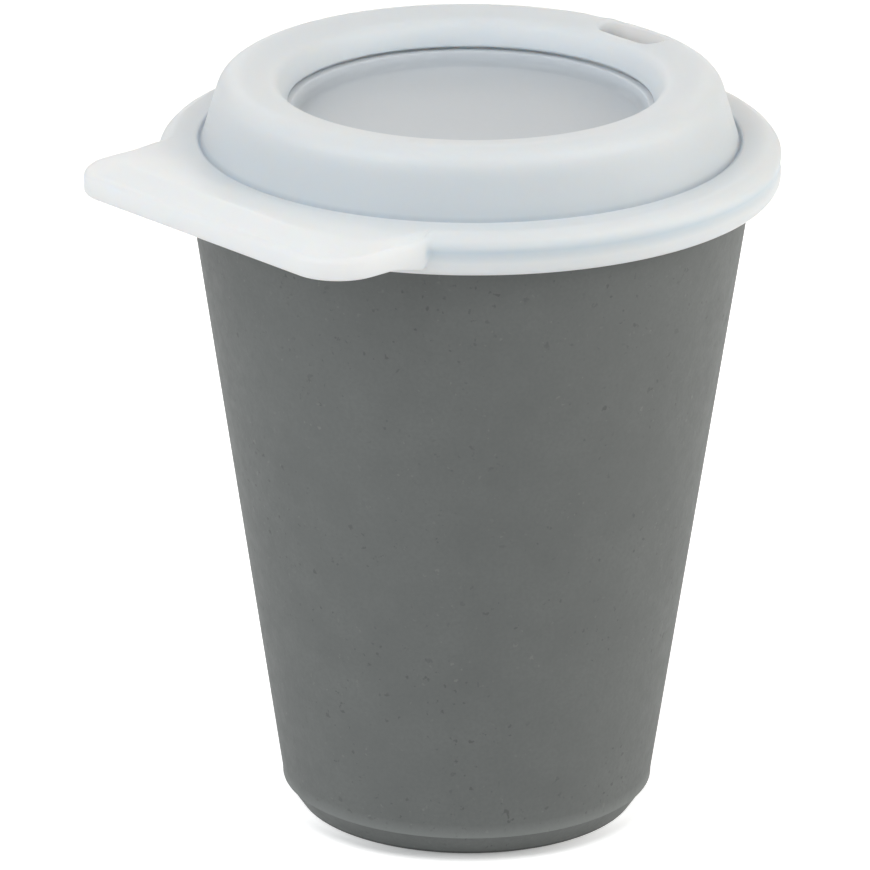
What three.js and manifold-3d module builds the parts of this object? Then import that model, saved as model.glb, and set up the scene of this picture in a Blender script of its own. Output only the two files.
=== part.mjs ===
// Lidded travel cup: a tapered one-piece moulded cup, a soft press-on lid with a raised drinking ring,
// a clear disc held in the ring's groove, and a lift tab that folds on the edge of the brim.
// Millimetres, +Z up. The origin is on the cup's axis, at the level of the table that it stands on.
// The lift tab points along -Y and the sip opening lies opposite, along +Y.
import * as THREE from "three";
import { mergeVertices } from "three/addons/utils/BufferGeometryUtils.js";
import Module from "manifold-3d";

const wasm = await Module();
wasm.setup();

// Cup
const CUP_HEIGHT = 111.8;
const RIM_RADIUS = 46.6;
const BASE_RADIUS = 30.5;
const CUP_WALL = 2.6;
const CUP_FLOOR = 3.6;
const INNER_CORNER = 6;
const RIM_ROUND = 1.1;
const WALL_EDGE_ROUND = 0.3;

// Foot: a bevelled ring under the wall, with a small step between the two
const FOOT_RADIUS = 27.8;
const FOOT_HEIGHT = 3.8;
const FOOT_BEVEL = 2.1;
const FOOT_RING = 4.4;
const FOOT_RECESS = 0.8;
const FOOT_ROUND = 0.4;

// Lid: brim, skirt and plug, which close over the cup's rim
const SEAT_GAP = 0.3;
const SKIRT_GAP = 0.4;
const BRIM_THICKNESS = 2.6;
const BRIM_WIDTH = 6.6;
const BRIM_ROUND = 2.4;
const SKIRT_WALL = 3.4;
const SKIRT_DEPTH = 7;
const SKIRT_ROUND = 1;
const PLUG_DEPTH = 7.6;
const PLUG_WALL = 2;
const PLUG_ROUND = 0.6;

// Lid: raised drinking ring, hollow underneath
const RING_HEIGHT = 11;
const RING_LEAN = 3.5;
const RING_SHOULDER = 3.7;
const RING_EDGE = 2.5;
const CROWN_WIDTH = 8.7;
const CROWN_FALL = 1.3;
const LIP_INSET = 2.1;
const LIP_DROP = 4;
const LID_WALL = 2.2;
const CREASE_ROUND = 0.6;

// Clear disc and the groove that holds its edge
const DISC_EDGE = 1.1;
const DISC_THICKNESS = 1.6;
const DISC_UPSTAND = 2.5;
const DISC_UPSTAND_WALL = 1.7;
const DISC_GAP = 0.3;
const LEDGE_WIDTH = 3.4;
const LEDGE_THICKNESS = 1.6;

// Sip opening through the ring's crown
const SIP_LENGTH = 14;
const SIP_WIDTH = 6.2;

// Lift tab and its root plate on the brim
const TAB_WIDTH = 65.4;
const TAB_THICKNESS = 4.5;
const TAB_LENGTH = 5.5;
const TAB_CORNER = 8;
const ROOT_LENGTH = 2.8;
const FOLD_GAP = 0.3;
const FOLD_LIP_ANGLE = THREE.MathUtils.degToRad(20);

// Fineness of the faceted surfaces
const TURN_SEGMENTS = 64;
const CHORD_ERROR = 0.07;
const EDGE_STEPS = 4;
const BEVEL_FLAT = 0.2;
const CUT_MARGIN = 5;

// Radii of the cup's wall at a height
const wallSlope = (RIM_RADIUS - BASE_RADIUS) / (CUP_HEIGHT - FOOT_HEIGHT);
const cupOuter = (z) => BASE_RADIUS + wallSlope * (z - FOOT_HEIGHT);
const cupInner = (z) => cupOuter(z) - CUP_WALL;

// Levels and radii of the lid, worked up from the cup's rim
const channelTop = CUP_HEIGHT + SEAT_GAP;
const brimTop = channelTop + BRIM_THICKNESS;
const skirtInner = RIM_RADIUS + SKIRT_GAP;
const brimRadius = skirtInner + SKIRT_WALL;
const skirtBottom = brimTop - SKIRT_DEPTH;
const plugBottom = CUP_HEIGHT - PLUG_DEPTH;
const plugTopRadius = cupInner(channelTop) - SKIRT_GAP;
const plugLowRadius = cupInner(plugBottom) - SKIRT_GAP;
const creaseRadius = brimRadius - BRIM_WIDTH;
const shoulderRadius = creaseRadius - RING_LEAN;
const crownTop = brimTop + RING_HEIGHT;
const crownInnerRadius = shoulderRadius - CROWN_WIDTH;
const crownInnerTop = crownTop - CROWN_FALL;
const lipRadius = crownInnerRadius - LIP_INSET;
const lipLevel = crownInnerTop - LIP_DROP;

// The disc hangs under the lip, and the ledge carries it
const discRadius = lipRadius + DISC_EDGE;
const discTop = lipLevel - DISC_GAP;
const discFloor = discTop - DISC_UPSTAND;
const discBottom = discFloor - DISC_THICKNESS;
const grooveRadius = discRadius + DISC_GAP;
const ledgeTop = discBottom - DISC_GAP;
const ledgeBottom = ledgeTop - LEDGE_THICKNESS;
const ledgeInner = discRadius - LEDGE_WIDTH;

// The hollow under the crown keeps the lid's wall all round
const hollowInner = grooveRadius + LID_WALL;
const hollowTop = crownInnerTop - LID_WALL;
const hollowLow = creaseRadius - LID_WALL;
const hollowOuter = hollowLow - (RING_LEAN * (hollowTop - brimTop)) / RING_HEIGHT;

// The fold line of the tab, parallel to X
const foldDistance = brimRadius + ROOT_LENGTH;
const tabReach = foldDistance + TAB_LENGTH;
const tabMiddle = brimTop - TAB_THICKNESS / 2;
const knuckleRadius = TAB_THICKNESS / 2;
const rootInner = Math.max(brimRadius - BRIM_ROUND, skirtInner);

// A closed or axis-to-axis outline of [radius, height, fillet] corners, with each fillet drawn as an arc.
// A fillet is limited to what its two neighbouring edges can hold.
function filletedOutline(corners, closed) {
  const points = [];
  const count = corners.length;
  corners.forEach(([x, y, wanted], i) => {
    const corner = new THREE.Vector2(x, y);
    const end = !closed && (i === 0 || i === count - 1);
    if (end || wanted === 0) {
      points.push(corner);
      return;
    }
    const before = new THREE.Vector2(...corners[(i + count - 1) % count]).sub(corner);
    const after = new THREE.Vector2(...corners[(i + 1) % count]).sub(corner);
    const half = Math.acos(THREE.MathUtils.clamp(before.dot(after) / (before.length() * after.length()), -1, 1)) / 2;
    const room = 0.48 * Math.min(before.length(), after.length());
    const tangent = Math.min(wanted / Math.tan(half), room);
    const radius = tangent * Math.tan(half);
    before.normalize();
    after.normalize();
    const centre = before.clone().add(after).normalize().multiplyScalar(radius / Math.sin(half)).add(corner);
    const from = before.multiplyScalar(tangent).add(corner).sub(centre);
    const to = after.multiplyScalar(tangent).add(corner).sub(centre);
    const turn = Math.atan2(from.cross(to), from.dot(to));
    const widestStep = 2 * Math.acos(1 - Math.min(CHORD_ERROR / radius, 1));
    const steps = Math.ceil(Math.abs(turn) / widestStep);
    for (let step = 0; step <= steps; step += 1) {
      const angle = (turn * step) / steps;
      points.push(from.clone().rotateAround(new THREE.Vector2(), angle).add(centre));
    }
  });
  if (closed) points.push(points[0].clone());
  return points;
}

// A solid turned about Z
function turned(corners, closed = false) {
  const geometry = new THREE.LatheGeometry(filletedOutline(corners, closed), TURN_SEGMENTS);
  return geometry.rotateX(Math.PI / 2);
}

// A level plate with a half-round edge all round, from an outline in plan and its middle height
function roundEdgedPlate(outline, thickness, middle) {
  const bevel = (thickness - BEVEL_FLAT) / 2;
  const geometry = new THREE.ExtrudeGeometry(outline, {
    depth: BEVEL_FLAT,
    bevelEnabled: true,
    bevelThickness: bevel,
    bevelSize: bevel,
    bevelOffset: -bevel,
    bevelSegments: EDGE_STEPS,
    curveSegments: 2 * EDGE_STEPS,
  });
  return geometry.translate(0, 0, middle - BEVEL_FLAT / 2);
}

// A rectangle in plan, across the Y axis, with its outer corners (towards -Y) rounded
function tabOutline(near, far, width, corner) {
  const side = width / 2;
  const outline = new THREE.Shape();
  outline.moveTo(side, -near);
  outline.lineTo(-side, -near);
  outline.lineTo(-side, -far + corner);
  outline.absarc(-side + corner, -far + corner, corner, Math.PI, 1.5 * Math.PI);
  outline.lineTo(side - corner, -far);
  outline.absarc(side - corner, -far + corner, corner, 1.5 * Math.PI, 2 * Math.PI);
  outline.closePath();
  return outline;
}

// Manifold solids, for joining and cutting
function toSolid(geometry) {
  const bare = geometry.clone();
  bare.deleteAttribute("normal");
  bare.deleteAttribute("uv");
  const welded = mergeVertices(bare, 1e-4);
  const vertProperties = new Float32Array(welded.attributes.position.array);
  const triVerts = new Uint32Array(welded.index.array);
  return new wasm.Manifold(new wasm.Mesh({ numProp: 3, vertProperties, triVerts }));
}

function toGeometry(solid) {
  const mesh = solid.getMesh();
  const geometry = new THREE.BufferGeometry();
  geometry.setAttribute("position", new THREE.BufferAttribute(mesh.vertProperties, 3));
  geometry.setIndex(new THREE.BufferAttribute(mesh.triVerts, 1));
  geometry.computeVertexNormals();
  return geometry;
}

function cupGeometry() {
  const floorTop = FOOT_RECESS + CUP_FLOOR;
  const footInner = FOOT_RADIUS - FOOT_RING;
  return turned([
    [0, FOOT_RECESS, 0],
    [footInner - FOOT_RECESS, FOOT_RECESS, FOOT_ROUND],
    [footInner, 0, FOOT_ROUND],
    [FOOT_RADIUS, 0, FOOT_ROUND],
    [FOOT_RADIUS + FOOT_BEVEL, FOOT_HEIGHT, FOOT_ROUND],
    [BASE_RADIUS, FOOT_HEIGHT, WALL_EDGE_ROUND],
    [RIM_RADIUS, CUP_HEIGHT, RIM_ROUND],
    [RIM_RADIUS - CUP_WALL, CUP_HEIGHT, RIM_ROUND],
    [cupInner(floorTop), floorTop, INNER_CORNER],
    [0, floorTop, 0],
  ]);
}

// The lid before the sip opening and the tab's root: one closed section turned about the axis
function lidRingGeometry() {
  return turned(
    [
      [ledgeInner, ledgeBottom, PLUG_ROUND],
      [hollowInner, ledgeBottom, PLUG_ROUND],
      [hollowInner, hollowTop, CREASE_ROUND],
      [hollowOuter, hollowTop, LID_WALL],
      [hollowLow, brimTop, LID_WALL],
      [plugTopRadius - PLUG_WALL, CUP_HEIGHT, LID_WALL],
      [plugLowRadius - PLUG_WALL, plugBottom, PLUG_ROUND],
      [plugLowRadius, plugBottom, PLUG_ROUND],
      [plugTopRadius, channelTop, SEAT_GAP],
      [skirtInner, channelTop, SEAT_GAP],
      [skirtInner, skirtBottom, PLUG_ROUND],
      [brimRadius, skirtBottom, SKIRT_ROUND],
      [brimRadius, brimTop, BRIM_ROUND],
      [creaseRadius, brimTop, CREASE_ROUND],
      [shoulderRadius, crownTop, RING_SHOULDER],
      [crownInnerRadius, crownInnerTop, RING_EDGE],
      [lipRadius, lipLevel, 0],
      [grooveRadius, lipLevel, 0],
      [grooveRadius, ledgeTop, 0],
      [ledgeInner, ledgeTop, PLUG_ROUND],
    ],
    true,
  );
}

// The whole tab as one plate, from inside the brim to the outer edge
function tabPlate() {
  const backCorner = rootInner - TAB_THICKNESS;
  const near = Math.sqrt(Math.max(backCorner ** 2 - (TAB_WIDTH / 2) ** 2, 0));
  return toSolid(roundEdgedPlate(tabOutline(near, tabReach, TAB_WIDTH, TAB_CORNER), TAB_THICKNESS, tabMiddle));
}

// A box that holds all of the tab beyond a line parallel to X
function beyondLine(distance) {
  const length = tabReach - distance + CUT_MARGIN;
  const box = new THREE.BoxGeometry(TAB_WIDTH + CUT_MARGIN, length, TAB_THICKNESS + CUT_MARGIN);
  return toSolid(box.translate(0, -distance - length / 2, tabMiddle));
}

// A round bar along the fold line
function foldBar(radius) {
  const bar = new THREE.CylinderGeometry(radius, radius, TAB_WIDTH + CUT_MARGIN, 8 * EDGE_STEPS);
  return toSolid(bar.rotateZ(Math.PI / 2).translate(0, -foldDistance, tabMiddle));
}

// The stretch of the tab that stays with the brim, socketed for the tab's knuckle
function tabRootSolid() {
  const socketRadius = knuckleRadius + FOLD_GAP;
  const lipDistance = foldDistance - socketRadius * Math.sin(FOLD_LIP_ANGLE);
  const inside = turned([
    [0, skirtBottom - CUT_MARGIN, 0],
    [rootInner, skirtBottom - CUT_MARGIN, 0],
    [rootInner, brimTop + CUT_MARGIN, 0],
    [0, brimTop + CUT_MARGIN, 0],
  ]);
  return tabPlate().subtract(toSolid(inside)).subtract(beyondLine(lipDistance)).subtract(foldBar(socketRadius));
}

// The sip opening: a slot with round ends, cut straight down through the crown into the hollow
function sipCutter() {
  const middle = (hollowInner + hollowOuter) / 2;
  const reach = SIP_LENGTH / 2 - SIP_WIDTH / 2;
  const slot = new THREE.Shape();
  slot.absarc(reach, middle, SIP_WIDTH / 2, -Math.PI / 2, Math.PI / 2);
  slot.absarc(-reach, middle, SIP_WIDTH / 2, Math.PI / 2, 1.5 * Math.PI);
  slot.closePath();
  const bottom = hollowTop - LID_WALL;
  const depth = crownTop + CUT_MARGIN - bottom;
  const cutter = new THREE.ExtrudeGeometry(slot, { depth, bevelEnabled: false, curveSegments: 2 * EDGE_STEPS });
  return toSolid(cutter.translate(0, 0, bottom));
}

function lidGeometry() {
  return toGeometry(toSolid(lidRingGeometry()).add(tabRootSolid()).subtract(sipCutter()));
}

function discGeometry() {
  const upstandInner = discRadius - DISC_UPSTAND_WALL;
  return turned([
    [0, discBottom, 0],
    [discRadius, discBottom, DISC_GAP],
    [discRadius, discTop, DISC_GAP],
    [upstandInner, discTop, DISC_GAP],
    [upstandInner - DISC_GAP, discFloor, DISC_GAP],
    [0, discFloor, 0],
  ]);
}

// The stretch of the tab that folds, with a round knuckle along the fold line
function tabGeometry() {
  return toGeometry(tabPlate().intersect(beyondLine(foldDistance).add(foldBar(knuckleRadius))));
}

const composite = new THREE.MeshStandardMaterial({ color: 0x6a6d6b, roughness: 0.62, metalness: 0 });
const silicone = new THREE.MeshStandardMaterial({ color: 0xe4e8ea, roughness: 0.45, metalness: 0 });
const clearPlastic = new THREE.MeshStandardMaterial({ color: 0xb9bec1, roughness: 0.3, metalness: 0 });

function piece(name, geometry, material) {
  const mesh = new THREE.Mesh(geometry, material);
  mesh.name = name;
  return mesh;
}

const travelCup = new THREE.Group();
travelCup.add(piece("cup", cupGeometry(), composite));
travelCup.add(piece("lid", lidGeometry(), silicone));
travelCup.add(piece("window_disc", discGeometry(), clearPlastic));
travelCup.add(piece("lift_tab", tabGeometry(), silicone));

export default travelCup;
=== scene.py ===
"""Looks of a lidded travel cup: a grey moulded cup, a milky soft lid with a lift tab, and its frosted disc.

Each piece is a numpy surface, worked out in millimetres and stored in metres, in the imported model's frame:
+Z up, the foot on the floor at the origin, the lift tab towards -Y and the sip opening towards +Y.
"""
import math

import bpy
import numpy as np
from mathutils import Matrix, Vector


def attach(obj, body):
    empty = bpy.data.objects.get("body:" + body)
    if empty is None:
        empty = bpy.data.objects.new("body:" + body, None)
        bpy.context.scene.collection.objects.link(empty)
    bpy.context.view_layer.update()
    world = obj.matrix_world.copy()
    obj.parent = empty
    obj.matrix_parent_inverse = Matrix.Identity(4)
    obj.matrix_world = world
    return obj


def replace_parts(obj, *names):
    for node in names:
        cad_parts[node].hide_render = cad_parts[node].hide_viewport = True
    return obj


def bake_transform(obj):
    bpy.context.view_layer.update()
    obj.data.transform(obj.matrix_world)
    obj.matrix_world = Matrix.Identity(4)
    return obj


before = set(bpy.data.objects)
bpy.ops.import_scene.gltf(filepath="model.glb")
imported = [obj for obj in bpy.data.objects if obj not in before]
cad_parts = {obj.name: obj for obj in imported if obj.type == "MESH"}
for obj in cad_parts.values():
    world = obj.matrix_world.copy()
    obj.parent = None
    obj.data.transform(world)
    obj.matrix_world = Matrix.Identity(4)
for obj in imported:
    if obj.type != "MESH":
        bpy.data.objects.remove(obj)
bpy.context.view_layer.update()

MM = 0.001

# Cup, in millimetres
CUP_HEIGHT = 111.8
RIM_RADIUS = 46.6
BASE_RADIUS = 30.5
CUP_WALL = 2.6
CUP_FLOOR = 3.6
INNER_CORNER = 6.0
RIM_ROUND = 1.1
WALL_EDGE_ROUND = 0.3
WALL_FLARE = 0.12
WALL_FLARE_HEIGHT = 1.4
WALL_FLARE_ROUND = 6.0

# Foot: a bevelled ring under the wall, with a small step between the two
FOOT_RADIUS = 27.8
FOOT_HEIGHT = 3.8
FOOT_BEVEL = 2.6
FOOT_RING = 4.4
FOOT_RECESS = 0.8
FOOT_ROUND = 0.3

# Lid: brim, skirt and plug, which close over the rim
SEAT_GAP = 0.3
SKIRT_GAP = 0.4
BRIM_THICKNESS = 2.6
BRIM_WIDTH = 6.6
BRIM_ROUND = 2.4
SKIRT_WALL = 3.4
SKIRT_DEPTH = 7.0
SKIRT_ROUND = 1.0
SKIRT_BEAD = 0.2
SKIRT_BEAD_REACH = 1.6
SKIRT_BEAD_LEVELS = (1.7, 4.9)
PLUG_DEPTH = 7.6
PLUG_WALL = 2.0
PLUG_ROUND = 0.6
RIM_GROOVE = 1.5
RIM_GROOVE_HEIGHT = 2.2

# Lid: raised drinking ring, hollow underneath
RING_HEIGHT = 11.0
RING_LEAN = 3.5
RING_SHOULDER = 3.7
RING_EDGE = 2.5
CROWN_WIDTH = 8.7
CROWN_FALL = 1.3
LIP_INSET = 2.1
LIP_DROP = 4.0
LIP_ROUND = 0.3
LID_WALL = 2.2
CREASE_ROUND = 0.6
CREASE_GROOVE = 0.5
CREASE_DEPTH = 0.75

# Disc and the groove that holds its edge
DISC_EDGE = 1.1
DISC_THICKNESS = 1.6
DISC_UPSTAND = 2.5
DISC_UPSTAND_WALL = 1.7
DISC_GAP = 0.3
DISC_SHADOW_GAP = 0.5
DISC_COVE = 1.4
LEDGE_WIDTH = 3.4
LEDGE_THICKNESS = 1.6

# Sip opening through the crown of the ring
SIP_LENGTH = 14.0
SIP_WIDTH = 5.4
SIP_MIDDLE = 36.4
SIP_TOP_ROUND = 0.9
SIP_UNDER_ROUND = 0.2

# Lift tab: its outline, the ridge on its top, and the cove under its root
TAB_WIDTH = 65.4
TAB_THICKNESS = 4.5
TAB_REACH = 58.7
TAB_CORNER = 8.0
TAB_NOSE = 0.6
TAB_COVE = 1.3
COVE_SHARE = 1 / 3
TAB_ROOT_REACH = 7.0
TAB_EDGE_ROUND = 1.2
TAB_DROP = 0.7
TAB_FADE = 1.2
TAB_JOIN_ROUND = 0.5
RIDGE_WIDTH = 62.0
RIDGE_REACH = 54.4
RIDGE_CORNER = 14.0
RIDGE_RISE = 1.2
RIDGE_LENGTH = 42.0
RIDGE_FADE = 9.0
RIDGE_MARGIN = 1.0

# Fineness of the surfaces
CUP_COLUMNS = 192
ARC_STEP = math.radians(9)
LID_STEP = 1.2
CUP_STEP = 3.0
FILLET_SHARE = 0.48
TINY = 1e-6

# Rows of the lid's outer edge
SKIRT_ROUND_ROWS = 8
SKIRT_WALL_ROWS = 4
UNDER_ROWS = 12
NOSE_ROWS = 7
FACE_ROWS = 6
EDGE_ROWS = 10
SLOPE_ROWS = 10
FLAT_ROWS = 13

# Columns of the lid, along the stretches from the tab's middle halfway round to the sip opening's middle
FRONT_COLUMNS = 18
CORNER_COLUMNS = 16
END_COLUMNS = 12
JOIN_COLUMNS = 14
BESIDE_COLUMNS = 6
REST_COLUMNS = 66
SIP_COLUMNS = 28
JOIN_BEFORE = math.radians(1.5)
JOIN_AFTER = math.radians(1)
BESIDE_AFTER = math.radians(4)
SIP_SPREAD = math.radians(18)

# Rows across the sip opening and down its rounded edges
SIP_ROWS = 12
SIP_ROUND_ROWS = 6
CUT_MARGIN = 0.7
CUT_SLACK = 0.1

# Levels and radii that follow from the sizes above
WALL_SLOPE = (RIM_RADIUS - BASE_RADIUS) / (CUP_HEIGHT - FOOT_HEIGHT)
CHANNEL_TOP = CUP_HEIGHT + SEAT_GAP
BRIM_TOP = CHANNEL_TOP + BRIM_THICKNESS
SKIRT_INNER = RIM_RADIUS + SKIRT_GAP
BRIM_RADIUS = SKIRT_INNER + SKIRT_WALL
SKIRT_BOTTOM = BRIM_TOP - SKIRT_DEPTH
PLUG_BOTTOM = CUP_HEIGHT - PLUG_DEPTH
CREASE_RADIUS = BRIM_RADIUS - BRIM_WIDTH
SHOULDER_RADIUS = CREASE_RADIUS - RING_LEAN
CROWN_TOP = BRIM_TOP + RING_HEIGHT
CROWN_INNER = SHOULDER_RADIUS - CROWN_WIDTH
CROWN_INNER_TOP = CROWN_TOP - CROWN_FALL
LIP_RADIUS = CROWN_INNER - LIP_INSET
LIP_LEVEL = CROWN_INNER_TOP - LIP_DROP
DISC_RADIUS = LIP_RADIUS + DISC_EDGE
DISC_FLOOR = LIP_LEVEL - DISC_GAP - DISC_UPSTAND
DISC_BOTTOM = DISC_FLOOR - DISC_THICKNESS
GROOVE_RADIUS = DISC_RADIUS + DISC_GAP
LEDGE_TOP = DISC_BOTTOM - DISC_GAP
LEDGE_BOTTOM = LEDGE_TOP - LEDGE_THICKNESS
LEDGE_INNER = DISC_RADIUS - LEDGE_WIDTH
HOLLOW_INNER = GROOVE_RADIUS + LID_WALL
HOLLOW_TOP = CROWN_INNER_TOP - LID_WALL
HOLLOW_LOW = CREASE_RADIUS - LID_WALL
HOLLOW_OUTER = HOLLOW_LOW - RING_LEAN * (HOLLOW_TOP - BRIM_TOP) / RING_HEIGHT
TAB_UNDER = BRIM_TOP - TAB_THICKNESS


def cup_outer(height):
    """Outer radius of the cup's wall: a straight taper from the base to the rim."""
    return BASE_RADIUS + WALL_SLOPE * (height - FOOT_HEIGHT)


def cup_inner(height):
    """Inner radius of the cup's wall."""
    return cup_outer(height) - CUP_WALL


# Outlines


def fillet_arc(before, corner, after):
    """The arc that touches both edges at a corner (radius, height, fillet), limited to what they can hold."""
    here = corner[:2]
    back, ahead = before[:2] - here, after[:2] - here
    lengths = np.linalg.norm(back), np.linalg.norm(ahead)
    back, ahead = back / lengths[0], ahead / lengths[1]
    half = math.acos(np.clip(back @ ahead, -1, 1)) / 2
    tangent = min(corner[2] / math.tan(half), FILLET_SHARE * min(lengths))
    if tangent == 0:
        return here[None]
    radius = tangent * math.tan(half)
    middle = (back + ahead) / np.linalg.norm(back + ahead)
    centre = here + middle * radius / math.sin(half)
    start, end = here + back * tangent - centre, here + ahead * tangent - centre
    turn = math.atan2(start[0] * end[1] - start[1] * end[0], start @ end)
    angle = np.linspace(0, turn, math.ceil(abs(turn) / ARC_STEP) + 1)
    cos, sin = np.cos(angle), np.sin(angle)
    return centre + np.stack([cos * start[0] - sin * start[1], sin * start[0] + cos * start[1]], axis=-1)


def divided(points, longest):
    """The same line, with each stretch cut into equal parts that are no longer than a given length."""
    spans = np.linalg.norm(np.diff(points, axis=0), axis=1)
    counts = np.maximum(np.ceil(spans / longest).astype(int), 1)
    stretch = np.repeat(np.arange(len(spans)), counts)
    first = np.repeat(np.cumsum(counts) - counts, counts)
    share = (np.arange(counts.sum()) - first) / counts[stretch]
    inner = points[stretch] + (points[stretch + 1] - points[stretch]) * share[:, None]
    return np.vstack([inner, points[-1]])


def rounded(corners, longest):
    """An open outline through (radius, height, fillet) corners, with its fillets as arcs."""
    corners = np.array(corners, float)
    arcs = [fillet_arc(*corners[i - 1:i + 2]) for i in range(1, len(corners) - 1)]
    return divided(np.vstack([corners[:1, :2], *arcs, corners[-1:, :2]]), longest)


def resampled(points, count):
    """The same line with a given number of points, spaced evenly along it."""
    along = np.concatenate([[0], np.cumsum(np.linalg.norm(np.diff(points, axis=0), axis=1))])
    even = np.linspace(0, along[-1], count)
    return np.stack([np.interp(even, along, points[:, 0]), np.interp(even, along, points[:, 1])], axis=-1)


def smoothstep(value):
    """0 up to 0, 1 from 1 on, and a smooth rise between them."""
    value = np.clip(value, 0, 1)
    return value * value * (3 - 2 * value)


def shares(rows):
    """Equal steps from 0 to 1 as a column, without the 0."""
    return np.linspace(0, 1, rows)[1:, None]


def quarter_turn(rows):
    """Equal steps from 0 to a right angle as a column."""
    return np.linspace(0, np.pi / 2, rows)[:, None]


# Meshes


def strip(index):
    """Quads between the rows of a grid of vertex numbers, each row a closed ring."""
    ahead = np.roll(index, -1, axis=1)
    return np.stack([index[:-1], ahead[:-1], ahead[1:], index[1:]], axis=-1)


def turned_points(radius, height, angle):
    """Points (r cos a, r sin a, z) of a grid of radii and heights at the angles of its columns."""
    x, y = radius * np.cos(angle), radius * np.sin(angle)
    return np.stack([x, y, np.broadcast_to(height, radius.shape)], axis=-1)


def new_piece(name, vertices, faces, material):
    """A smooth-shaded object at the origin, from vertices in millimetres, without those that no face uses."""
    used, inverse = np.unique(np.concatenate([np.ravel(part) for part in faces]), return_inverse=True)
    ends = np.cumsum([part.size for part in faces])[:-1]
    numbered = [part.reshape(-1, faces[i].shape[-1]) for i, part in enumerate(np.split(inverse, ends))]
    mesh = bpy.data.meshes.new(name)
    polygons = [face for part in numbered for face in part.tolist()]
    mesh.from_pydata((vertices[used] * MM).tolist(), [], polygons)
    mesh.shade_smooth()
    mesh.materials.append(material)
    piece = bpy.data.objects.new(name, mesh)
    bpy.context.scene.collection.objects.link(piece)
    return piece


def turned_piece(name, outline, material):
    """A solid turned about Z from an outline that starts and ends on the axis, with a fan at each pole."""
    angle = np.arange(CUP_COLUMNS) * (2 * np.pi / CUP_COLUMNS)
    rows = outline[1:-1]
    grid = turned_points(rows[:, :1] * np.ones(CUP_COLUMNS), rows[:, 1:], angle)
    poles = np.array([[0, 0, outline[0, 1]], [0, 0, outline[-1, 1]]])
    index = np.arange(grid.shape[0] * CUP_COLUMNS).reshape(-1, CUP_COLUMNS)
    ahead = np.roll(index, -1, axis=1)
    low_pole = np.full(CUP_COLUMNS, index.size)
    faces = [
        strip(index),
        np.stack([low_pole, ahead[0], index[0]], axis=-1),
        np.stack([low_pole + 1, index[-1], ahead[-1]], axis=-1),
    ]
    return new_piece(name, np.vstack([grid.reshape(-1, 3), poles]), faces, material)


# Cup


def cup_outline():
    """From the base's middle over the foot ring, up the wall, over the rim and down to the inner floor."""
    floor_top = FOOT_RECESS + CUP_FLOOR
    foot_inner = FOOT_RADIUS - FOOT_RING
    flare_top = FOOT_HEIGHT + WALL_FLARE_HEIGHT
    return rounded(
        [
            (0, FOOT_RECESS, 0),
            (foot_inner - FOOT_RECESS, FOOT_RECESS, FOOT_ROUND),
            (foot_inner, 0, FOOT_ROUND),
            (FOOT_RADIUS, 0, FOOT_ROUND),
            (FOOT_RADIUS + FOOT_BEVEL, FOOT_HEIGHT, FOOT_ROUND),
            (BASE_RADIUS + WALL_FLARE, FOOT_HEIGHT, WALL_EDGE_ROUND),
            (cup_outer(flare_top), flare_top, WALL_FLARE_ROUND),
            (RIM_RADIUS, CUP_HEIGHT, RIM_ROUND),
            (RIM_RADIUS - CUP_WALL, CUP_HEIGHT, RIM_ROUND),
            (cup_inner(floor_top), floor_top, INNER_CORNER),
            (0, floor_top, 0),
        ],
        CUP_STEP,
    )


# Disc


def disc_outline():
    """A thin plate with a low upstand round it, coved where the two meet."""
    upstand_inner = DISC_RADIUS - DISC_UPSTAND_WALL
    upstand_top = LIP_LEVEL - DISC_SHADOW_GAP
    return rounded(
        [
            (0, DISC_BOTTOM, 0),
            (DISC_RADIUS, DISC_BOTTOM, DISC_GAP),
            (DISC_RADIUS, upstand_top, DISC_GAP),
            (upstand_inner, upstand_top, DISC_GAP),
            (upstand_inner - DISC_GAP, DISC_FLOOR, DISC_COVE),
            (0, DISC_FLOOR, 0),
        ],
        LID_STEP,
    )


# Lid

TOP_START = CREASE_RADIUS + 2 * CREASE_ROUND
BOTTOM_END = BRIM_RADIUS - SKIRT_ROUND - PLUG_ROUND


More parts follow.
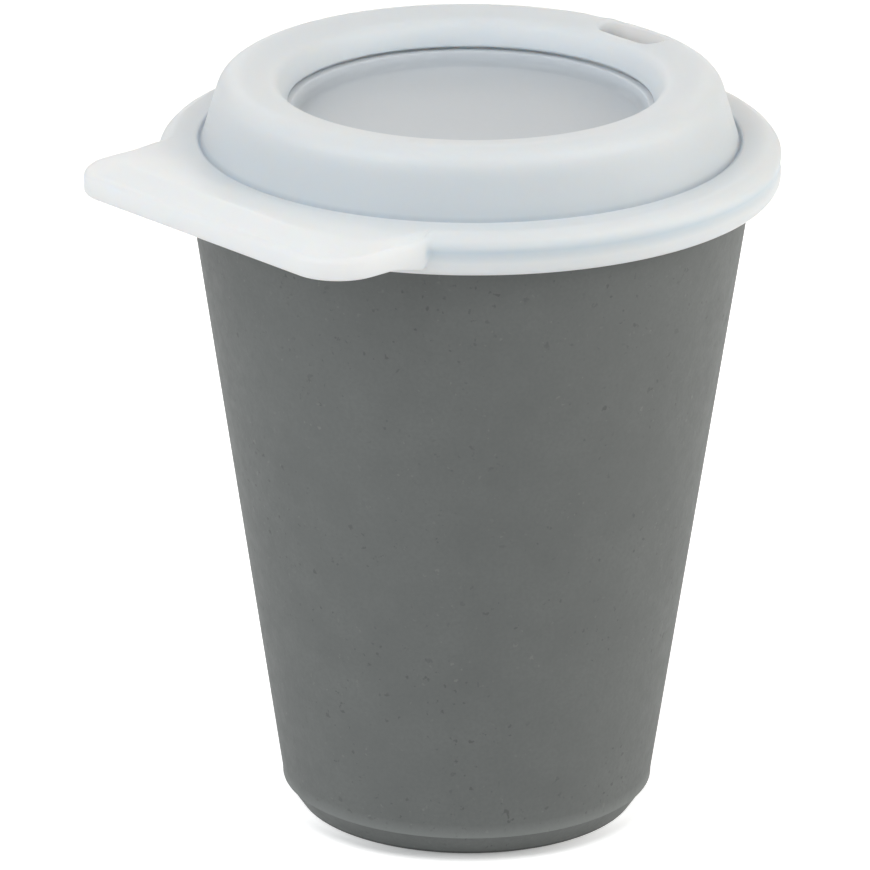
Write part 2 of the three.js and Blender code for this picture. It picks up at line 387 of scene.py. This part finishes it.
def lid_inner_section():
    """The part of the lid's section that is the same all round.

    It runs from the brim's top over the ring and the crown, down the lip into the groove, under the ledge,
    round the hollow and the plug, and along the rim's channel to the skirt.
    """
    plug_top = cup_inner(CHANNEL_TOP) - SKIRT_GAP
    plug_low = cup_inner(PLUG_BOTTOM) - SKIRT_GAP
    return rounded(
        [
            (TOP_START, BRIM_TOP, 0),
            (CREASE_RADIUS + CREASE_GROOVE, BRIM_TOP, CREASE_GROOVE / 2),
            (CREASE_RADIUS, BRIM_TOP - CREASE_DEPTH, CREASE_GROOVE / 3),
            (SHOULDER_RADIUS, CROWN_TOP, RING_SHOULDER),
            (CROWN_INNER, CROWN_INNER_TOP, RING_EDGE),
            (LIP_RADIUS, LIP_LEVEL, LIP_ROUND),
            (GROOVE_RADIUS, LIP_LEVEL, DISC_GAP),
            (GROOVE_RADIUS, LEDGE_TOP, DISC_GAP),
            (LEDGE_INNER, LEDGE_TOP, PLUG_ROUND),
            (LEDGE_INNER, LEDGE_BOTTOM, PLUG_ROUND),
            (HOLLOW_INNER, LEDGE_BOTTOM, PLUG_ROUND),
            (HOLLOW_INNER, HOLLOW_TOP, CREASE_ROUND),
            (HOLLOW_OUTER, HOLLOW_TOP, LID_WALL),
            (HOLLOW_LOW, BRIM_TOP, LID_WALL),
            (plug_top - PLUG_WALL, CUP_HEIGHT, LID_WALL),
            (plug_low - PLUG_WALL, PLUG_BOTTOM, PLUG_ROUND),
            (plug_low, PLUG_BOTTOM, PLUG_ROUND),
            (plug_top, CHANNEL_TOP, SEAT_GAP),
            (SKIRT_INNER + RIM_GROOVE, CHANNEL_TOP, SEAT_GAP),
            (SKIRT_INNER + RIM_GROOVE, CHANNEL_TOP - RIM_GROOVE_HEIGHT / 2, SEAT_GAP),
            (SKIRT_INNER, CHANNEL_TOP - RIM_GROOVE_HEIGHT, SEAT_GAP),
            (SKIRT_INNER, SKIRT_BOTTOM, PLUG_ROUND),
            (BOTTOM_END, SKIRT_BOTTOM, 0),
        ],
        LID_STEP,
    )


CROWN_CUT = (CROWN_INNER + CUT_MARGIN, SHOULDER_RADIUS + CUT_SLACK)
CEILING_CUT = (HOLLOW_INNER + CUT_SLACK / 2, HOLLOW_OUTER + CUT_MARGIN)


def row_range(section, cut, lowest):
    """First and last row of the section that lie between two radii and above a height."""
    rows = np.flatnonzero((section[:, 0] > cut[0]) & (section[:, 0] < cut[1]) & (section[:, 1] > lowest))
    return rows[0], rows[-1]


def sectioned_for_sip(section):
    """The section with as many rows across the crown as across the hollow's ceiling, and where both start."""
    crown = row_range(section, CROWN_CUT, HOLLOW_TOP + LID_WALL / 2)
    ceiling = row_range(section[crown[1] + 1:], CEILING_CUT, HOLLOW_TOP - LID_WALL)
    ceiling = ceiling[0] + crown[1] + 1, ceiling[1] + crown[1] + 1
    between = section[crown[1] + 1:ceiling[0]]
    parts = [
        section[:crown[0]],
        resampled(section[crown[0]:crown[1] + 1], SIP_ROWS + 1),
        between,
        resampled(section[ceiling[0]:ceiling[1] + 1], SIP_ROWS + 1),
        section[ceiling[1] + 1:],
    ]
    return np.vstack(parts), crown[0], crown[0] + SIP_ROWS + 1 + len(between)


def lid_angles():
    """Angles from the tab's middle all the way round: closer together along the tab's corners and sides, and
    evenly spaced across the sip opening, which lies opposite."""
    side, corner = TAB_WIDTH / 2, TAB_CORNER
    join = math.asin(side / BRIM_RADIUS)
    ends = [
        math.atan2(side - corner, TAB_REACH),
        math.atan2(side, TAB_REACH - corner),
        join - JOIN_BEFORE,
        join + JOIN_AFTER,
        join + BESIDE_AFTER,
        math.pi - SIP_SPREAD,
        math.pi,
    ]
    counts = [
        FRONT_COLUMNS,
        CORNER_COLUMNS,
        END_COLUMNS,
        JOIN_COLUMNS,
        BESIDE_COLUMNS,
        REST_COLUMNS,
        SIP_COLUMNS // 2,
    ]
    stretches = zip([0, *ends], ends, counts)
    half = np.concatenate([np.linspace(start, end, count, endpoint=False) for start, end, count in stretches])
    return np.concatenate([half, [math.pi], 2 * math.pi - half[:0:-1]])


def plate_radius(angle, side, reach, corner):
    """Distance from the axis to the edge of a plate with round corners, along the tab's middle line."""
    cos, sin = np.cos(angle), np.abs(np.sin(angle))
    front = cos > TINY
    cos, sin = np.where(front, cos, 1), np.maximum(sin, TINY)
    middle = cos * (reach - corner) + sin * (side - corner)
    rest = (reach - corner) ** 2 + (side - corner) ** 2 - corner ** 2
    radius = middle + np.sqrt(np.maximum(middle ** 2 - rest, 0))
    radius = np.where(reach * sin / cos < side - corner, reach / cos, radius)
    radius = np.where(side * cos / sin < reach - corner, side / sin, radius)
    return np.where(front, radius, 0)


def smooth_larger(first, second, width):
    """The larger of two values, with the step from one to the other rounded over a width."""
    near = np.maximum(width - np.abs(first - second), 0) / width
    return np.maximum(first, second) + near ** 2 * width / 4


def bead(height):
    """A low smooth swelling of the skirt, from a height above the bead's middle."""
    return SKIRT_BEAD * np.cos(np.clip(height / SKIRT_BEAD_REACH, -1, 1) * np.pi / 2) ** 2


def lid_edge_rows(angle):
    """Radii and heights of the lid's outer edge, in rows from the skirt's bottom up to the brim's top.

    Away from the tab the edge is the brim's upright wall with a quarter round on top. On the tab the same
    rows run out along its underside, which lies lower at the tab's ends, round its nose, up its face, and
    back along a top that rises to the ridge and falls a little from there to the ring. Towards the tab's ends
    the ridge comes down to the brim's level. The edge follows two outlines in plan, its own and the ridge's.
    """
    plate = plate_radius(angle, TAB_WIDTH / 2, TAB_REACH, TAB_CORNER)
    outer = smooth_larger(plate, BRIM_RADIUS, TAB_JOIN_ROUND)
    out = outer - BRIM_RADIUS
    tabness = smoothstep(out / TAB_FADE)
    edge_round = BRIM_ROUND + (TAB_EDGE_ROUND - BRIM_ROUND) * tabness
    brim_flat = BRIM_RADIUS - BRIM_ROUND - RIDGE_MARGIN
    ridge = np.maximum(plate_radius(angle, RIDGE_WIDTH / 2, RIDGE_REACH, RIDGE_CORNER), brim_flat)
    ridge = np.minimum(ridge, outer - edge_round - RIDGE_MARGIN)
    past = np.abs(ridge * np.sin(angle)) - RIDGE_LENGTH / 2
    ridge_top = BRIM_TOP + RIDGE_RISE * tabness * (1 - smoothstep(past / RIDGE_FADE))
    edge_top = BRIM_TOP - TAB_DROP * tabness

    turn = quarter_turn(SKIRT_ROUND_ROWS)
    bottom_r = BRIM_RADIUS - SKIRT_ROUND * (1 - np.sin(turn)) + 0 * angle
    bottom_z = SKIRT_BOTTOM + SKIRT_ROUND * (1 - np.cos(turn)) + 0 * angle

    root_z = TAB_UNDER - TAB_COVE
    wall_z = np.linspace(SKIRT_BOTTOM + SKIRT_ROUND, root_z, SKIRT_WALL_ROWS)[1:, None] + 0 * angle
    wall_r = BRIM_RADIUS + 0 * wall_z

    share = shares(UNDER_ROWS)
    nose = np.minimum(TAB_NOSE, out / 2)
    lifted = smoothstep(out / TAB_ROOT_REACH)
    under_r = BRIM_RADIUS + (out - nose) * share
    under_z = root_z + TAB_COVE * lifted * (1 - np.maximum(1 - share / COVE_SHARE, 0) ** 2)
    turn = quarter_turn(NOSE_ROWS)[1:]
    nose_r = outer - nose * (1 - np.sin(turn))
    nose_z = under_z[-1] + TAB_NOSE * (1 - np.cos(turn))
    share = shares(FACE_ROWS)
    face_z = nose_z[-1] * (1 - share) + (edge_top - edge_round) * share
    tab_z = np.vstack([under_z, nose_z, face_z])
    brim_z = np.linspace(root_z, BRIM_TOP - BRIM_ROUND, len(tab_z) + 1)[1:, None]
    side_z = brim_z * (1 - tabness) + tab_z * tabness
    side_r = np.vstack([under_r, nose_r, outer + 0 * face_z])

    turn = quarter_turn(EDGE_ROWS)[1:]
    edge_r = outer - edge_round * (1 - np.cos(turn))
    edge_z = edge_top - edge_round * (1 - np.sin(turn))
    share = shares(SLOPE_ROWS)
    top_r = (outer - edge_round) * (1 - share) + ridge * share
    top_z = edge_top * (1 - share) + ridge_top * share
    share = shares(FLAT_ROWS)[:-1]
    flat_r = ridge + (TOP_START - ridge) * share
    flat_z = ridge_top + (BRIM_TOP - ridge_top) * share
    radii = np.vstack([bottom_r, wall_r, side_r, edge_r, top_r, flat_r])
    heights = np.vstack([bottom_z, wall_z, side_z, edge_z, top_z, flat_z])
    beads = sum(bead(heights - SKIRT_BOTTOM - level) for level in SKIRT_BEAD_LEVELS)
    return radii + beads * (1 - tabness), heights


def block_edge(index, row, column):
    """Vertex numbers round a block of the grid, anticlockwise on the crown as seen from above."""
    block = index[row:row + SIP_ROWS + 1, column:column + SIP_COLUMNS + 1]
    return np.concatenate([block[0, :-1], block[:-1, -1], block[-1, :0:-1], block[:0:-1, 0]])


def slot_radius(direction, spread):
    """Distance from the sip opening's middle to its edge: a slot with round ends, widened by spread."""
    cos, sin = np.abs(np.cos(direction)), np.abs(np.sin(direction))
    half_width = SIP_WIDTH / 2 + spread
    reach = (SIP_LENGTH - SIP_WIDTH) / 2
    straight = half_width / np.maximum(sin, TINY)
    end = reach * cos + np.sqrt(np.maximum(half_width ** 2 - (reach * sin) ** 2, 0))
    return np.where(straight * cos < reach, straight, end)


def sip_rings(edge, section, crown_row, ceiling_row):
    """Rings of points down the sip opening: a quarter round from the crown, the wall, and a round underneath.
    A ring's height follows the crown or the hollow's ceiling at its own radius from the lid's axis."""
    crown = section[crown_row:crown_row + SIP_ROWS + 1][::-1]
    ceiling = section[ceiling_row:ceiling_row + SIP_ROWS + 1]
    direction = np.arctan2(edge[:, 1] - SIP_MIDDLE, edge[:, 0])
    turn = quarter_turn(SIP_ROUND_ROWS)
    spread = np.concatenate([SIP_TOP_ROUND * (1 - np.sin(turn)), SIP_UNDER_ROUND * (1 - np.cos(turn))])
    depth = np.concatenate([SIP_TOP_ROUND * (1 - np.cos(turn)), SIP_UNDER_ROUND * (np.sin(turn) - 1)])
    far = slot_radius(direction, spread)
    x, y = far * np.cos(direction), SIP_MIDDLE + far * np.sin(direction)
    radius = np.hypot(x, y)
    on_crown = np.interp(radius, crown[:, 0], crown[:, 1])
    on_ceiling = np.interp(radius, ceiling[:, 0], ceiling[:, 1])
    top = np.arange(len(spread))[:, None] < len(turn)
    return np.stack([x, y, np.where(top, on_crown, on_ceiling) - depth], axis=-1)


def lid_piece(material):
    """The lid and its tab as one closed skin: a closed section carried round the axis, whose outer edge runs
    out to the tab, with the sip opening let into the crown and the hollow's ceiling."""
    section, crown_row, ceiling_row = sectioned_for_sip(lid_inner_section())
    angle = lid_angles()
    edge_r, edge_z = lid_edge_rows(angle)
    radius = np.vstack([np.repeat(section[:, :1], len(angle), axis=1), edge_r])
    height = np.vstack([np.repeat(section[:, 1:], len(angle), axis=1), edge_z])
    grid = turned_points(radius, height, angle - np.pi / 2)
    index = np.arange(radius.size).reshape(radius.shape)

    quads = strip(np.vstack([index, index[:1]]))
    first = len(angle) // 2 - SIP_COLUMNS // 2
    kept = np.ones(quads.shape[:2], bool)
    kept[crown_row:crown_row + SIP_ROWS, first:first + SIP_COLUMNS] = False
    kept[ceiling_row:ceiling_row + SIP_ROWS, first:first + SIP_COLUMNS] = False

    vertices = grid.reshape(-1, 3)
    crown_edge = block_edge(index, crown_row, first)
    ceiling_edge = block_edge(index[::-1], len(index) - 1 - ceiling_row - SIP_ROWS, first)
    rings = sip_rings(vertices[crown_edge], section, crown_row, ceiling_row)
    ring_index = index.size + np.arange(rings.shape[0] * rings.shape[1]).reshape(rings.shape[:2])
    slot = strip(np.vstack([crown_edge, ring_index, ceiling_edge]))
    faces = [quads[kept], slot.reshape(-1, 4)]
    return new_piece("lid_skin", np.vstack([vertices, rings.reshape(-1, 3)]), faces, material)


# Materials

NOISE_RANGE = (0.3, 0.7)
FINE_DETAIL = 3

# Grey composite: mottling, grain, specks and skin
MOTTLE_SCALE = 110
MOTTLE_DETAIL = 4
MOTTLE_COLOURS = ((0.132, 0.141, 0.137), (0.149, 0.159, 0.154))
GRAIN_SCALE = 1500
GRAIN_RANGE = (0.35, 0.65)
GRAIN_SHARE = 0.5
GRAIN_COLOUR = (0.123, 0.131, 0.128)
SPECK_EDGE = 0.05
PATCH_RANGE = (0.42, 0.58)
DARK_SPECK_SCALE = 800
DARK_SPECK_LEVEL = 0.66
DARK_PATCH_SCALE = 70
DARK_SPECK_COLOUR = (0.098, 0.104, 0.1)
PALE_SPECK_SCALE = 950
PALE_SPECK_LEVEL = 0.68
PALE_PATCH_SCALE = 90
PALE_SPECK_COLOUR = (0.175, 0.182, 0.174)
SKIN_SCALE = 420
SKIN_ROUGHNESS = (0.5, 0.6)
SKIN_RELIEF_SCALE = 1100
SKIN_RELIEF_DEPTH = 0.0001
SKIN_RELIEF_STRENGTH = 0.35
COMPOSITE_IOR = 1.48

# Grey composite: a painted highlight up the wall's lower edge, and painted shade on the foot and where it
# meets the floor
EDGE_HIGHLIGHT_HEIGHT = 2.4
EDGE_HIGHLIGHT_SHARE = 0.6
EDGE_HIGHLIGHT_COLOUR = (0.26, 0.275, 0.268)
FOOT_SHADE = 0.07
CONTACT_HEIGHT = 0.6
CONTACT_SHADE = 0.55
SHADE_COLOUR = (0.03, 0.032, 0.031)

# Soft lid and frosted disc
CLOUD_SCALE = 70
SATIN_SCALE = 900
SATIN_DEPTH = 0.00005
SATIN_STRENGTH = 0.25
SOFT_IOR = 1.41
SOFT_SPECULAR = 0.25
# Painted shade: a bluish band round the skirt where the cup's rim lies behind it
RIM_SHADE_HEIGHT = 111.7
RIM_SHADE_REACH = 1.8
RIM_SHADE_SHARE = 0.75
RIM_SHADE_COLOUR = (0.62, 0.74, 0.84)
# Painted shade in the groove at the drinking ring's foot
CREASE_SHADE_REACH = 0.65
CREASE_SHADE_SHARE = 0.85
CREASE_SHADE_COLOUR = (0.5, 0.56, 0.62)


def finish_nodes(name):
    """A new material with its nodes, its links, its shader and its Object coordinates."""
    material = bpy.data.materials.new(name)
    material.use_nodes = True
    nodes, links = material.node_tree.nodes, material.node_tree.links
    coordinates = nodes.new("ShaderNodeTexCoord").outputs["Object"]
    return material, nodes, links, nodes["Principled BSDF"], coordinates


def noise(nodes, links, coordinates, scale, detail=2.0):
    """Cloudy noise with about `scale` features to the metre."""
    node = nodes.new("ShaderNodeTexNoise")
    node.inputs["Scale"].default_value = scale
    node.inputs["Detail"].default_value = detail
    links.new(coordinates, node.inputs["Vector"])
    return node.outputs["Fac"]


def ranged(nodes, links, value, low, high, to_low, to_high):
    """A value mapped from one range to another, and held at the ends."""
    node = nodes.new("ShaderNodeMapRange")
    for name, number in (("From Min", low), ("From Max", high), ("To Min", to_low), ("To Max", to_high)):
        node.inputs[name].default_value = number
    links.new(value, node.inputs["Value"])
    return node.outputs["Result"]


def product(nodes, links, first, second):
    """Two values multiplied."""
    node = nodes.new("ShaderNodeMath")
    node.operation = "MULTIPLY"
    links.new(first, node.inputs[0])
    links.new(second, node.inputs[1])
    return node.outputs["Value"]


def mixed(nodes, links, share, first, second):
    """A colour between two others; each is a colour or the output of a node."""
    node = nodes.new("ShaderNodeMix")
    node.data_type = "RGBA"
    links.new(share, node.inputs["Factor"])
    for socket, colour in ((node.inputs[6], first), (node.inputs[7], second)):
        if isinstance(colour, tuple):
            socket.default_value = (*colour, 1)
        else:
            links.new(colour, socket)
    return node.outputs[2]


def bumped(nodes, links, shader, height, depth, strength):
    """Fine relief on the shader's normal, from a height between 0 and 1."""
    node = nodes.new("ShaderNodeBump")
    node.inputs["Distance"].default_value = depth
    node.inputs["Strength"].default_value = strength
    links.new(height, node.inputs["Height"])
    links.new(node.outputs["Normal"], shader.inputs["Normal"])


def specks(nodes, links, coordinates, scale, threshold, patch_scale):
    """Small uneven specks: the peaks of a fine noise, only in the patches where a coarse noise is high."""
    fine = noise(nodes, links, coordinates, scale)
    peaks = ranged(nodes, links, fine, threshold, threshold + SPECK_EDGE, 0, 1)
    coarse = noise(nodes, links, coordinates, patch_scale)
    patches = ranged(nodes, links, coarse, *PATCH_RANGE, 0, 1)
    return product(nodes, links, peaks, patches)


def up_and_out(nodes, links, coordinates):
    """Height above the floor, and distance from the axis."""
    parts = nodes.new("ShaderNodeSeparateXYZ")
    links.new(coordinates, parts.inputs["Vector"])
    level = nodes.new("ShaderNodeVectorMath")
    level.operation = "MULTIPLY"
    links.new(coordinates, level.inputs[0])
    level.inputs[1].default_value = (1, 1, 0)
    length = nodes.new("ShaderNodeVectorMath")
    length.operation = "LENGTH"
    links.new(level.outputs["Vector"], length.inputs[0])
    return parts.outputs["Z"], length.outputs["Value"]


def composite_finish():
    """Grey moulded composite: soft mottling, fine grain, and faint dark and pale specks under a matte skin.
    A painted highlight makes the wall's lower edge paler, and painted shade makes the foot darker, most of
    all where it meets the floor."""
    material, nodes, links, shader, coordinates = finish_nodes("grey_composite")
    clouds = noise(nodes, links, coordinates, MOTTLE_SCALE, MOTTLE_DETAIL)
    colour = mixed(nodes, links, ranged(nodes, links, clouds, *NOISE_RANGE, 0, 1), *MOTTLE_COLOURS)
    grain = ranged(nodes, links, noise(nodes, links, coordinates, GRAIN_SCALE), *GRAIN_RANGE, 0, GRAIN_SHARE)
    colour = mixed(nodes, links, grain, colour, GRAIN_COLOUR)
    dark = specks(nodes, links, coordinates, DARK_SPECK_SCALE, DARK_SPECK_LEVEL, DARK_PATCH_SCALE)
    colour = mixed(nodes, links, dark, colour, DARK_SPECK_COLOUR)
    pale = specks(nodes, links, coordinates, PALE_SPECK_SCALE, PALE_SPECK_LEVEL, PALE_PATCH_SCALE)
    colour = mixed(nodes, links, pale, colour, PALE_SPECK_COLOUR)
    height, _ = up_and_out(nodes, links, coordinates)
    edge = FOOT_HEIGHT * MM
    # Painted highlight: a paler band up the wall from its lower edge
    near_edge = ranged(nodes, links, height, edge + EDGE_HIGHLIGHT_HEIGHT * MM, edge, 0, EDGE_HIGHLIGHT_SHARE)
    on_wall = ranged(nodes, links, height, edge - FOOT_ROUND * MM / 2, edge, 0, 1)
    colour = mixed(nodes, links, product(nodes, links, near_edge, on_wall), colour, EDGE_HIGHLIGHT_COLOUR)
    # Painted shade: the foot a little darker than the wall
    colour = mixed(nodes, links, ranged(nodes, links, on_wall, 1, 0, 0, FOOT_SHADE), colour, SHADE_COLOUR)
    # Painted shadow: a dark line where the foot meets the floor
    contact = ranged(nodes, links, height, CONTACT_HEIGHT * MM, CONTACT_HEIGHT * MM / 2, 0, CONTACT_SHADE)
    colour = mixed(nodes, links, contact, colour, SHADE_COLOUR)
    links.new(colour, shader.inputs["Base Color"])
    skin = noise(nodes, links, coordinates, SKIN_SCALE, FINE_DETAIL)
    links.new(ranged(nodes, links, skin, *NOISE_RANGE, *SKIN_ROUGHNESS), shader.inputs["Roughness"])
    relief = noise(nodes, links, coordinates, SKIN_RELIEF_SCALE, FINE_DETAIL)
    bumped(nodes, links, shader, relief, SKIN_RELIEF_DEPTH, SKIN_RELIEF_STRENGTH)
    shader.inputs["IOR"].default_value = COMPOSITE_IOR
    return material


def painted_rim_shade(nodes, links, coordinates):
    """Share of the painted shade where the cup's dark rim lies behind the skirt: it fades above and below the
    rim's height, and is 0 out on the tab."""
    height, distance = up_and_out(nodes, links, coordinates)
    middle = RIM_SHADE_HEIGHT * MM
    above = ranged(nodes, links, height, middle + RIM_SHADE_REACH * MM, middle, 0, 1)
    below = ranged(nodes, links, height, middle - RIM_SHADE_REACH * MM, middle, 0, 1)
    skirt_edge = (BRIM_RADIUS + 2 * SKIRT_BEAD) * MM
    off_tab = ranged(nodes, links, distance, skirt_edge + TAB_JOIN_ROUND * MM, skirt_edge, 0, RIM_SHADE_SHARE)
    return product(nodes, links, product(nodes, links, above, below), off_tab)


def painted_crease_shade(nodes, links, coordinates):
    """Share of the painted shade in the narrow groove at the drinking ring's foot, and 0 a little way off."""
    height, distance = up_and_out(nodes, links, coordinates)
    middle, reach = (CREASE_RADIUS + CREASE_GROOVE / 2) * MM, CREASE_SHADE_REACH * MM
    outside = ranged(nodes, links, distance, middle + reach, middle, 0, 1)
    inside = ranged(nodes, links, distance, middle - reach, middle, 0, 1)
    bottom, depth = (BRIM_TOP - CREASE_DEPTH) * MM, CREASE_DEPTH * MM
    upper = ranged(nodes, links, height, bottom - depth, bottom, 0, CREASE_SHADE_SHARE)
    return product(nodes, links, product(nodes, links, outside, inside), upper)


def soft_finish(name, pale, deep, scatter, rough_range):
    """Milky moulding that lets light through: scattering inside it, faint clouds of tone, painted shade round
    the skirt and in the ring's groove, and a satin skin.
    """
    material, nodes, links, shader, coordinates = finish_nodes(name)
    clouds = noise(nodes, links, coordinates, CLOUD_SCALE, FINE_DETAIL)
    colour = mixed(nodes, links, ranged(nodes, links, clouds, *NOISE_RANGE, 0, 1), pale, deep)
    # Painted shade round the skirt at the rim's height
    colour = mixed(nodes, links, painted_rim_shade(nodes, links, coordinates), colour, RIM_SHADE_COLOUR)
    # Painted shade in the groove at the ring's foot
    colour = mixed(nodes, links, painted_crease_shade(nodes, links, coordinates), colour, CREASE_SHADE_COLOUR)
    links.new(colour, shader.inputs["Base Color"])
    satin = noise(nodes, links, coordinates, SATIN_SCALE, FINE_DETAIL)
    links.new(ranged(nodes, links, satin, *NOISE_RANGE, *rough_range), shader.inputs["Roughness"])
    bumped(nodes, links, shader, satin, SATIN_DEPTH, SATIN_STRENGTH)
    shader.subsurface_method = "RANDOM_WALK"
    shader.inputs["Subsurface Weight"].default_value = 1
    shader.inputs["Subsurface Radius"].default_value = scatter
    shader.inputs["Subsurface Scale"].default_value = MM
    shader.inputs["IOR"].default_value = SOFT_IOR
    shader.inputs["Specular IOR Level"].default_value = SOFT_SPECULAR
    return material


# Stage, lamps and camera

CAMERA_AZIMUTH = math.radians(47.6)
CAMERA_ELEVATION = math.radians(20.05)
CAMERA_ROLL = math.radians(0.33)
CAMERA_DISTANCE = 1.4
CAMERA_TARGET = Vector((0, 0, 0.06375))
SENSOR_WIDTH = 36
FRAME_PIXELS = 870
FOCAL_PIXELS = 8512.6
TARGET_PIXEL = (468.6, 430)
LAMP_DISTANCE = 1.2
REFLECTED_SHARE = 0.5
FLOOR_SIZE = 6.0
FLOOR_COLOUR = (0.82, 0.82, 0.82, 1)
FLOOR_ROUGHNESS = 0.9
FLOOR_GLOW = 0.75
FLOOR_BOUNCE = 0.14
# Painted shadow: how far and how deep the floor's glow is dimmed near the foot
FLOOR_SHADE_REACH = 0.0042
FLOOR_SHADE_SIDE = 0.12
FLOOR_OPEN_RANGE = (0.5, 0.95)
FLOOR_DARKEST = 0.1
FLOOR_FRONT_START = 0.42


def towards(azimuth, elevation):
    """Direction from the object, with the azimuth counted from -Y towards +X."""
    level = math.cos(elevation)
    return Vector((math.sin(azimuth) * level, -math.cos(azimuth) * level, math.sin(elevation)))


def aimed(place, target, roll=0):
    """A transform at a place that looks at a target along its own -Z, turned about that line by a roll."""
    look = (target - place).to_track_quat("-Z", "Y").to_matrix().to_4x4()
    return Matrix.Translation(place) @ look @ Matrix.Rotation(roll, 4, "Z")


def add_camera():
    """The scene's camera, with its lens and shift set so that the target lands on its pixel of the frame."""
    camera = bpy.data.cameras.new("camera")
    camera.sensor_width = SENSOR_WIDTH
    camera.lens = FOCAL_PIXELS * camera.sensor_width / FRAME_PIXELS
    camera.shift_x = (FRAME_PIXELS / 2 - TARGET_PIXEL[0]) / FRAME_PIXELS
    camera.shift_y = (TARGET_PIXEL[1] - FRAME_PIXELS / 2) / FRAME_PIXELS
    holder = bpy.data.objects.new("camera", camera)
    place = CAMERA_TARGET + towards(CAMERA_AZIMUTH, CAMERA_ELEVATION) * CAMERA_DISTANCE
    holder.matrix_world = aimed(place, CAMERA_TARGET, CAMERA_ROLL)
    bpy.context.scene.collection.objects.link(holder)
    bpy.context.scene.camera = holder


def add_softbox(name, azimuth, elevation, size, power, colour):
    """A square lamp at an azimuth counted from the camera's, aimed at the cup's middle."""
    lamp = bpy.data.lights.new(name, "AREA")
    lamp.size = size
    lamp.energy = power
    lamp.color = colour
    holder = bpy.data.objects.new(name, lamp)
    direction = towards(CAMERA_AZIMUTH + math.radians(azimuth), math.radians(elevation))
    holder.matrix_world = aimed(CAMERA_TARGET + direction * LAMP_DISTANCE, CAMERA_TARGET)
    bpy.context.scene.collection.objects.link(holder)


def seen_directly(nodes, links):
    """1 for rays from the camera or through clear things, a set share for reflections, and 0 for the rest."""
    path = nodes.new("ShaderNodeLightPath")
    total = path.outputs["Is Camera Ray"]
    for name, share in (("Is Glossy Ray", REFLECTED_SHARE), ("Is Transmission Ray", 1)):
        node = nodes.new("ShaderNodeMath")
        node.operation = "MULTIPLY_ADD"
        links.new(path.outputs[name], node.inputs[0])
        node.inputs[1].default_value = share
        links.new(total, node.inputs[2])
        total = node.outputs["Value"]
    return total


def add_world():
    """White where it is seen, with no light of its own on the object."""
    world = bpy.data.worlds.new("white_studio")
    bpy.context.scene.world = world
    world.use_nodes = True
    nodes, links = world.node_tree.nodes, world.node_tree.links
    background = nodes["Background"]
    background.inputs["Color"].default_value = (1, 1, 1, 1)
    links.new(seen_directly(nodes, links), background.inputs["Strength"])


def add_floor():
    """A white floor. A glow that only the camera and reflections see lifts it to white, except close to the
    foot, where the glow is dimmed as a painted shadow with the room above the floor: fully in front of the
    foot and little at its sides. The floor's own shading under the lamps is real."""
    half = FLOOR_SIZE / 2
    corners = [(-half, -half, 0), (half, -half, 0), (half, half, 0), (-half, half, 0)]
    mesh = bpy.data.meshes.new("floor")
    mesh.from_pydata(corners, [], [(0, 1, 2, 3)])
    material = bpy.data.materials.new("white_floor")
    material.use_nodes = True
    nodes, links = material.node_tree.nodes, material.node_tree.links
    shader = nodes["Principled BSDF"]
    shader.inputs["Base Color"].default_value = FLOOR_COLOUR
    shader.inputs["Roughness"].default_value = FLOOR_ROUGHNESS
    shader.inputs["Emission Color"].default_value = (1, 1, 1, 1)
    # Painted shadow: the glow is dimmed where little room is open above the floor, most in front of the foot
    openness = nodes.new("ShaderNodeAmbientOcclusion")
    openness.inputs["Distance"].default_value = FLOOR_SHADE_REACH
    darkest = FLOOR_DARKEST * FLOOR_GLOW
    shaded = ranged(nodes, links, openness.outputs["AO"], *FLOOR_OPEN_RANGE, darkest, FLOOR_GLOW)
    forward = nodes.new("ShaderNodeVectorMath")
    forward.operation = "DOT_PRODUCT"
    links.new(nodes.new("ShaderNodeTexCoord").outputs["Object"], forward.inputs[0])
    forward.inputs[1].default_value = towards(CAMERA_AZIMUTH, 0)
    reach = FOOT_RADIUS * MM
    start = reach * FLOOR_FRONT_START
    in_front = ranged(nodes, links, forward.outputs["Value"], start, reach, FLOOR_SHADE_SIDE, 1)
    front = nodes.new("ShaderNodeMix")
    links.new(in_front, front.inputs["Factor"])
    front.inputs["A"].default_value = FLOOR_GLOW
    links.new(shaded, front.inputs["B"])
    pick = nodes.new("ShaderNodeMix")
    links.new(seen_directly(nodes, links), pick.inputs["Factor"])
    pick.inputs["A"].default_value = FLOOR_BOUNCE
    links.new(front.outputs["Result"], pick.inputs["B"])
    links.new(pick.outputs["Result"], shader.inputs["Emission Strength"])
    mesh.materials.append(material)
    floor = bpy.data.objects.new("floor", mesh)
    bpy.context.scene.collection.objects.link(floor)


# The object

cup = turned_piece("cup_shell", cup_outline(), composite_finish())
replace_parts(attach(cup, "cup"), "cup")

disc_look = soft_finish(
    "frosted_disc",
    pale=(0.735, 0.79, 0.85),
    deep=(0.726, 0.782, 0.842),
    scatter=(9, 8.6, 8.2),
    rough_range=(0.3, 0.38),
)
disc = turned_piece("disc_plate", disc_outline(), disc_look)
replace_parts(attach(disc, "lid"), "window_disc")

lid_look = soft_finish(
    "milky_silicone",
    pale=(0.908, 0.94, 0.974),
    deep=(0.9, 0.934, 0.97),
    scatter=(7.5, 6.2, 5.3),
    rough_range=(0.34, 0.44),
)
lid = lid_piece(lid_look)
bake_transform(lid)
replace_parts(lid, "lid", "lift_tab")

add_camera()
add_floor()
add_world()
add_softbox("left_key", -50, 40, 1.0, 10.4, (0.96, 0.985, 1))
add_softbox("right_key", 66, 40, 0.9, 6.4, (0.995, 0.99, 0.97))
add_softbox("right_low", 90, 10, 0.9, 5.7, (1, 0.97, 0.91))
add_softbox("back_low", 180, 10, 0.9, 2.4, (1, 0.96, 0.92))
add_softbox("back_left", -150, 40, 0.9, 2.6, (1, 0.97, 0.94))
bpy.context.scene.view_settings.view_transform = "Standard"
